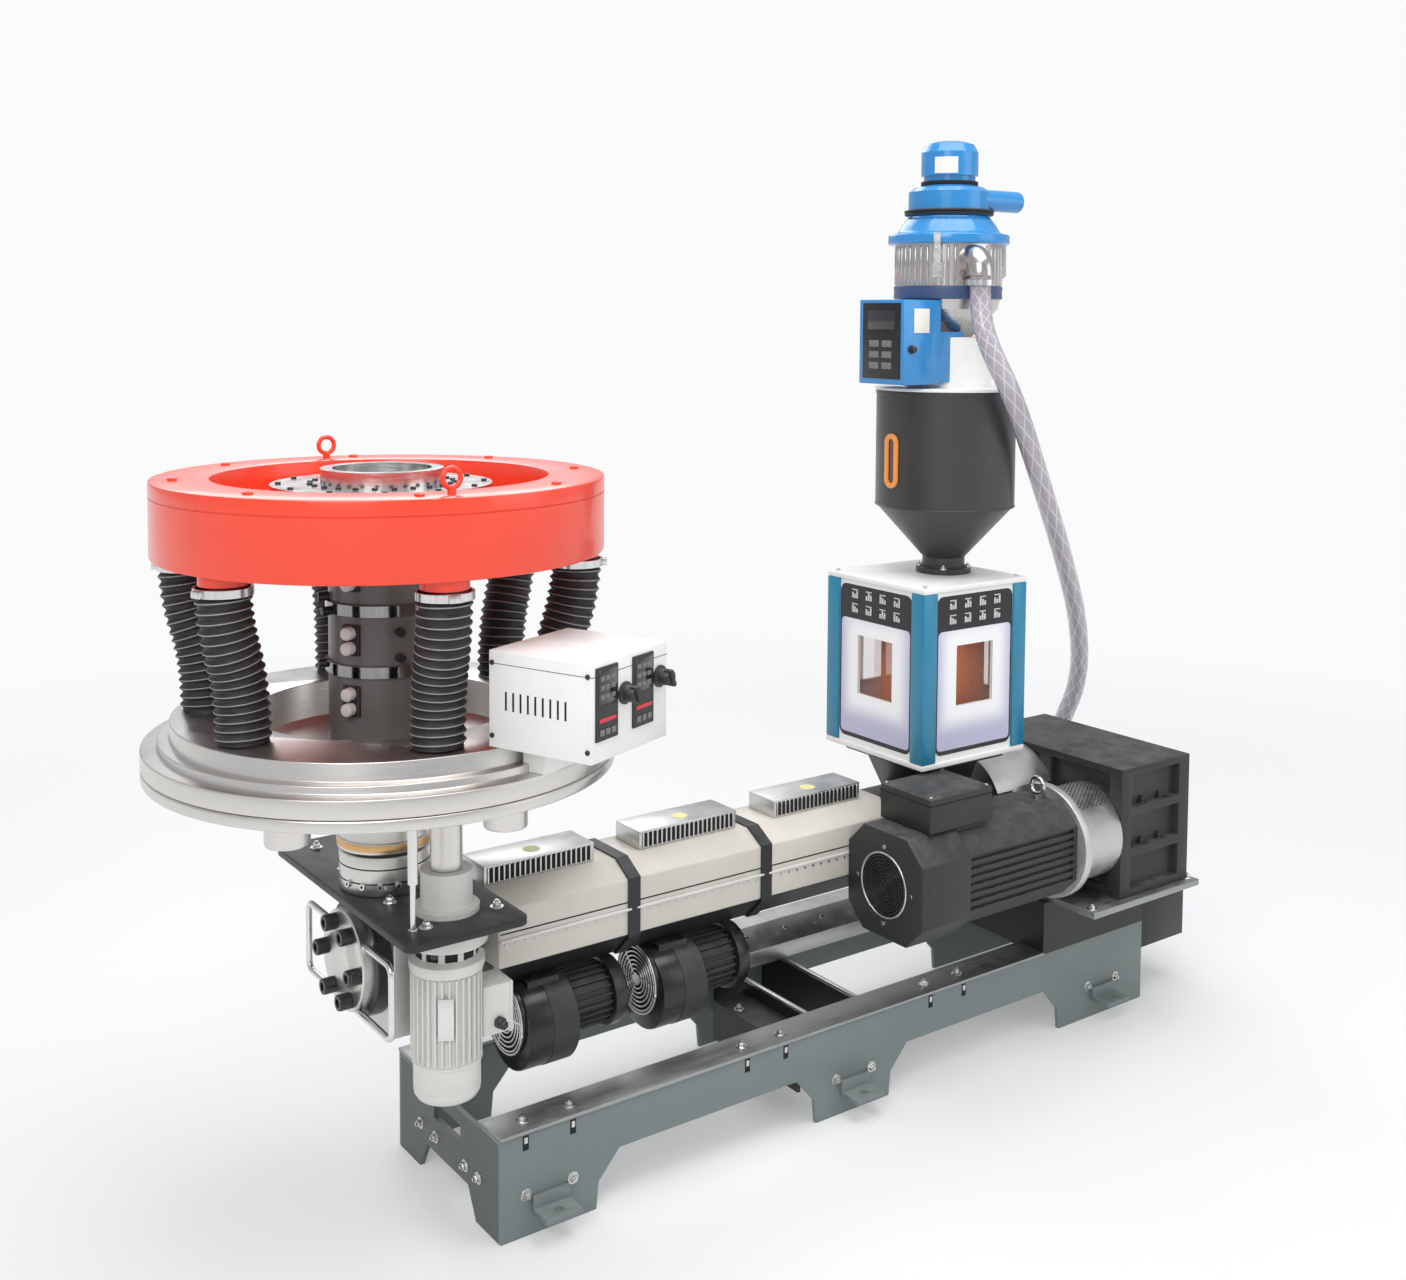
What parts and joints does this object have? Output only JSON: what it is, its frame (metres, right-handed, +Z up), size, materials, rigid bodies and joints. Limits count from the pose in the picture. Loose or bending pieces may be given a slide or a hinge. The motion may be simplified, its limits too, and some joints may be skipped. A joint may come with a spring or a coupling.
{
  "type": "blown-film plastic extruder with rotary die head",
  "caption": "Plastic extruder for blown film: covered barrel with motor and gearbox on a low frame, window box, hopper and vacuum loader, and a round rotary die head with a red air ring.",
  "frame": {"origin": "bottom centre of the machine, on the floor, without the suction hose", "axes": "+X along the barrel from the die head to the gearbox, +Z up, the main motor on the -Y side"},
  "size_m": [2.771, 1.2117, 1.686],
  "materials": {
    "frame_paint": "semi-gloss grey paint",
    "cover_paint": "satin warm grey paint",
    "black_paint": "satin black paint",
    "zinc_sheet": "bright zinc-plated sheet",
    "machined_steel": "machined and nickel-plated steel",
    "stainless": "stainless sheet with vertical lines",
    "blue_paint": "gloss blue paint",
    "box_blue": "satin blue paint",
    "white_paint": "satin white paint",
    "orange_paint": "gloss orange paint",
    "hopper_paint": "satin black paint on sheet",
    "ring_red": "gloss red paint",
    "steel_grey": "grey paint",
    "motor_black": "black painted casting",
    "clear_glass": "clear pane",
    "hose_clear": "clear plastic with a braided ply",
    "hose_wire": "flexible ribbed hose",
    "rubber_black": "black rubber"
  },
  "bodies": {
    "machine": {"side_beam_near": "frame_paint", "side_beam_far": "frame_paint", "rail_plates": "zinc_sheet", "end_plates": "frame_paint", "cross_members": "black_paint", "foot_lugs": "frame_paint", "riser_walls": "black_paint", "platform_plate": "zinc_sheet", "rear_box": "black_paint", "barrel": "machined_steel", "barrel_covers": "cover_paint", "barrel_tray": "black_paint", "cover_straps": "black_paint", "vent_boxes": "zinc_sheet", "blowers": "motor_black", "wire_duct": "zinc_sheet", "motor_fan_housing": "motor_black", "motor_body": "motor_black", "motor_terminal_box": "motor_black", "coupling_housing": "machined_steel", "motor_eye": "machined_steel", "gearbox": "motor_black", "thrust_guard": "zinc_sheet", "feed_throat": "motor_black", "window_box_plates": "white_paint", "window_box_posts": "box_blue", "window_panels": "white_paint", "window_panes": "clear_glass", "feed_column": "orange_paint", "hopper": "hopper_paint", "loader_base": "white_paint", "loader_chamber": "stainless", "loader_lid": "blue_paint", "loader_blower": "blue_paint", "loader_latches": "stainless", "loader_control_box": "blue_paint", "suction_hose": "hose_clear", "hose_coil": "hose_clear", "suction_lance": "stainless", "flow_block": "machined_steel", "end_cap": "machined_steel", "cap_handles": "machined_steel", "support_plate": "black_paint", "die_adaptor": "machined_steel", "drive_motor": "machined_steel", "tie_rod": "machined_steel", "table_base": "machined_steel"},
    "rotary_head": {"turntable": "machined_steel", "die_column": "machined_steel", "die_lip": "machined_steel", "air_ring": "ring_red", "air_hoses": "hose_wire", "eye_bolts": "machined_steel", "control_box": "white_paint"},
    "pinion_shaft": {"drive_shaft": "machined_steel"}
  },
  "joints": [
    {"name": "head_turn", "type": "hinge", "parent": "machine", "child": "rotary_head", "pos_m": [-0.6785, 0.05786, 0.718], "axis": [0, 0, 1], "continuous": true},
    {"name": "drive_spin", "type": "hinge", "parent": "machine", "child": "pinion_shaft", "pos_m": [-0.65211, -0.09183, 0.6], "axis": [0, 0, 1], "continuous": true}
  ],
  "couplings": [
    {"joint": "drive_spin", "follows": "head_turn", "ratio": -4}
  ]
}
